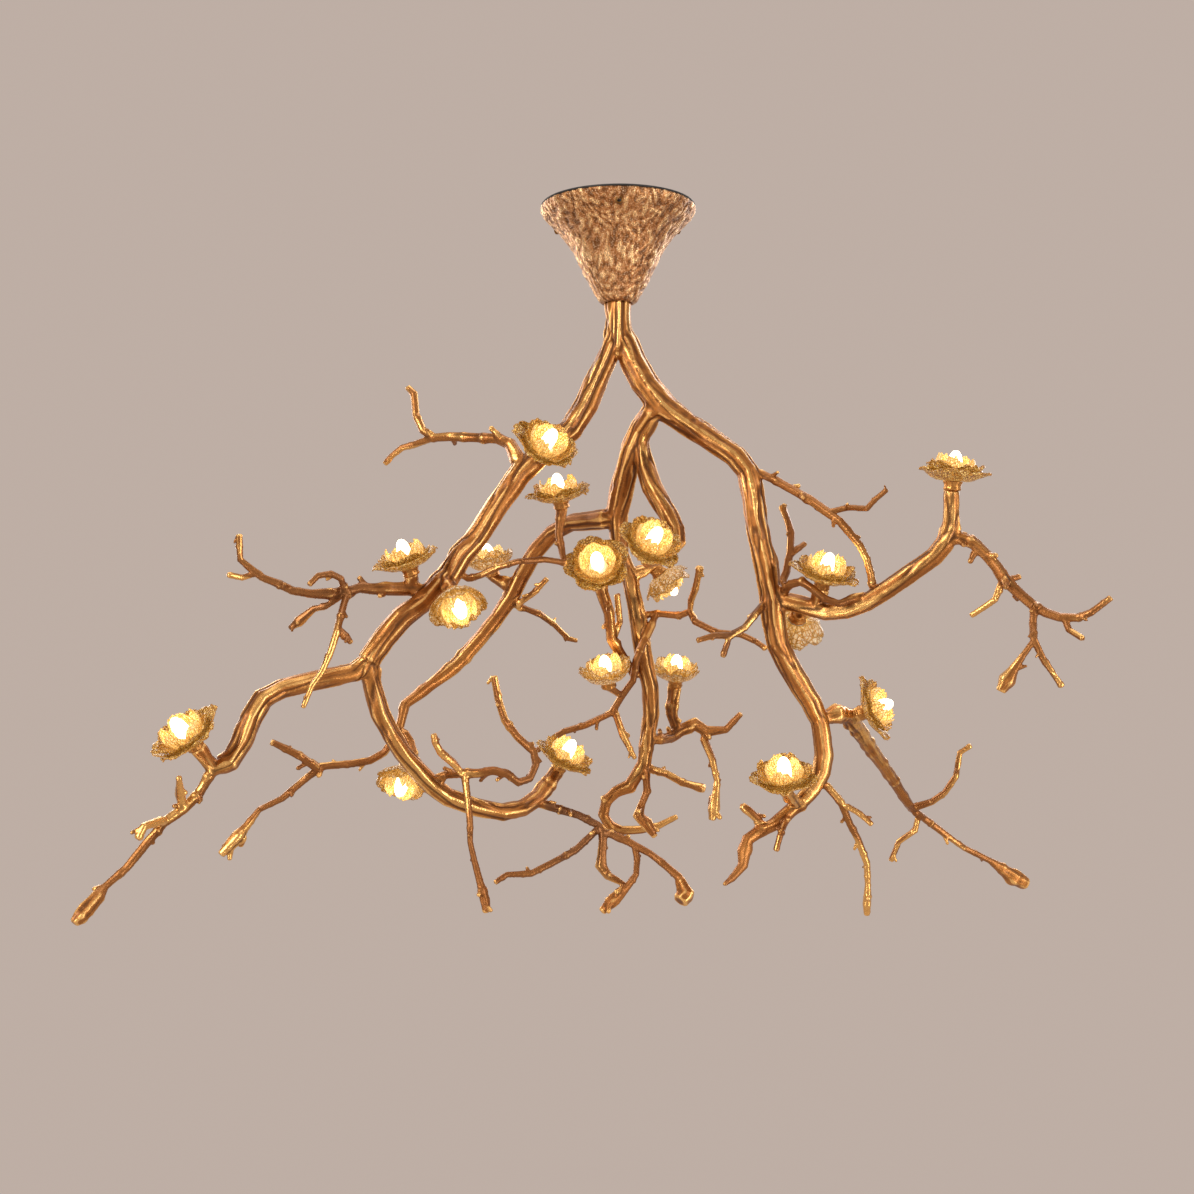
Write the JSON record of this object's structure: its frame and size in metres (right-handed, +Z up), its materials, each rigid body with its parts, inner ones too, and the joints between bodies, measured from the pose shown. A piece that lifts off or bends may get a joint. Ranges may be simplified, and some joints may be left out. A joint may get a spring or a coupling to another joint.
{
  "type": "branch chandelier",
  "caption": "Ceiling chandelier of cast forking branches under a hammered cone canopy, with petalled flower lamps on the limb ends.",
  "frame": {"origin": "centre of the ceiling plate's screw circle, on the ceiling plane", "axes": "+Z up out of the ceiling plate, +X to the right and +Y away from the viewer as pictured"},
  "size_m": [0.9195, 0.3925, 0.7151],
  "materials": {
    "antique_gold": "cast, patinated",
    "black_steel": "satin black",
    "canopy_copper": "hammered",
    "ceramic": "glazed",
    "lamp_glass": "frosted",
    "petal_glass": "amber crackle",
    "side_screw_brass": "dark",
    "white_case": "matt",
    "zinc_steel": "zinc plated"
  },
  "bodies": {
    "fixture": {"calyx_cups": "antique_gold", "ceiling_plate": "black_steel", "centre_hook": "antique_gold", "earth_screw": "side_screw_brass", "inner_petals": "petal_glass", "lamp_driver": "white_case", "lamp_holders": "ceramic", "limb_back": "antique_gold", "limb_centre": "antique_gold", "limb_left": "antique_gold", "limb_left_bend": "antique_gold", "limb_left_end": "antique_gold", "limb_right": "antique_gold", "nipple": "zinc_steel", "nipple_nuts": "zinc_steel", "outer_petals": "petal_glass", "right_arm": "antique_gold", "right_spur": "antique_gold", "stem": "antique_gold", "terminal_block": "white_case", "twig_arm_spray": "antique_gold", "twig_back_tail": "antique_gold", "twig_bend_front": "antique_gold", "twig_bend_tip": "antique_gold", "twig_centre_cross": "antique_gold", "twig_centre_shelf": "antique_gold", "twig_fan": "antique_gold", "twig_lamp_stem": "antique_gold", "twig_left_tail": "antique_gold", "twig_left_tangle": "antique_gold", "twig_long_loop": "antique_gold", "twig_spur": "antique_gold", "twig_upper_left": "antique_gold", "twigs_back": "antique_gold", "twigs_centre_low": "antique_gold", "twigs_right_limb": "antique_gold", "twigs_right_low": "antique_gold", "washer": "zinc_steel"},
    "canopy": {"canopy": "canopy_copper", "canopy_screws": "side_screw_brass"},
    "bulb_01": {"bulb_01": "lamp_glass"},
    "bulb_02": {"bulb_02": "lamp_glass"},
    "bulb_03": {"bulb_03": "lamp_glass"},
    "bulb_04": {"bulb_04": "lamp_glass"},
    "bulb_05": {"bulb_05": "lamp_glass"},
    "bulb_06": {"bulb_06": "lamp_glass"},
    "bulb_07": {"bulb_07": "lamp_glass"},
    "bulb_08": {"bulb_08": "lamp_glass"},
    "bulb_09": {"bulb_09": "lamp_glass"},
    "bulb_10": {"bulb_10": "lamp_glass"},
    "bulb_11": {"bulb_11": "lamp_glass"},
    "bulb_12": {"bulb_12": "lamp_glass"},
    "bulb_13": {"bulb_13": "lamp_glass"},
    "bulb_14": {"bulb_14": "lamp_glass"},
    "bulb_15": {"bulb_15": "lamp_glass"},
    "bulb_16": {"bulb_16": "lamp_glass"},
    "bulb_17": {"bulb_17": "lamp_glass"},
    "bulb_18": {"bulb_18": "lamp_glass"}
  },
  "joints": [
    {"name": "canopy_slide", "type": "slide", "parent": "fixture", "child": "canopy", "axis": [0, 0, -1], "range_m": [0, 0.019]},
    {"name": "bulb_01_pull", "type": "slide", "parent": "fixture", "child": "bulb_01", "axis": [0.0801, -0.1002, 0.9917], "range_m": [0, 0.02]},
    {"name": "bulb_02_pull", "type": "slide", "parent": "fixture", "child": "bulb_02", "axis": [0.4504, -0.6606, 0.6006], "range_m": [0, 0.02]},
    {"name": "bulb_03_pull", "type": "slide", "parent": "fixture", "child": "bulb_03", "axis": [-0.1596, -0.2394, 0.9577], "range_m": [0, 0.02]},
    {"name": "bulb_04_pull", "type": "slide", "parent": "fixture", "child": "bulb_04", "axis": [-0.2812, -0.2209, 0.9339], "range_m": [0, 0.02]},
    {"name": "bulb_05_pull", "type": "slide", "parent": "fixture", "child": "bulb_05", "axis": [-0.2009, -0.1005, 0.9744], "range_m": [0, 0.02]},
    {"name": "bulb_06_pull", "type": "slide", "parent": "fixture", "child": "bulb_06", "axis": [0.3505, -0.621, -0.7011], "range_m": [0, 0.02]},
    {"name": "bulb_07_pull", "type": "slide", "parent": "fixture", "child": "bulb_07", "axis": [-0.45, -0.5, 0.74], "range_m": [0, 0.02]},
    {"name": "bulb_08_pull", "type": "slide", "parent": "fixture", "child": "bulb_08", "axis": [-0.0802, -0.8617, 0.501], "range_m": [0, 0.02]},
    {"name": "bulb_09_pull", "type": "slide", "parent": "fixture", "child": "bulb_09", "axis": [0.399, -0.6583, 0.6383], "range_m": [0, 0.02]},
    {"name": "bulb_10_pull", "type": "slide", "parent": "fixture", "child": "bulb_10", "axis": [0.6191, 0.0999, -0.7789], "range_m": [0, 0.02]},
    {"name": "bulb_11_pull", "type": "slide", "parent": "fixture", "child": "bulb_11", "axis": [-0.1506, -0.3515, 0.924], "range_m": [0, 0.02]},
    {"name": "bulb_12_pull", "type": "slide", "parent": "fixture", "child": "bulb_12", "axis": [0.0503, -0.2517, 0.9665], "range_m": [0, 0.02]},
    {"name": "bulb_13_pull", "type": "slide", "parent": "fixture", "child": "bulb_13", "axis": [0.4528, -0.2516, 0.8554], "range_m": [0, 0.02]},
    {"name": "bulb_14_pull", "type": "slide", "parent": "fixture", "child": "bulb_14", "axis": [-0.1501, -0.5803, -0.8004], "range_m": [0, 0.02]},
    {"name": "bulb_15_pull", "type": "slide", "parent": "fixture", "child": "bulb_15", "axis": [0.1993, -0.3188, 0.9266], "range_m": [0, 0.02]},
    {"name": "bulb_16_pull", "type": "slide", "parent": "fixture", "child": "bulb_16", "axis": [-0.0803, 0.7532, -0.6528], "range_m": [0, 0.02]},
    {"name": "bulb_17_pull", "type": "slide", "parent": "fixture", "child": "bulb_17", "axis": [0.841, -0.4205, 0.3404], "range_m": [0, 0.02]},
    {"name": "bulb_18_pull", "type": "slide", "parent": "fixture", "child": "bulb_18", "axis": [-0.1203, -0.3409, 0.9324], "range_m": [0, 0.02]}
  ]
}
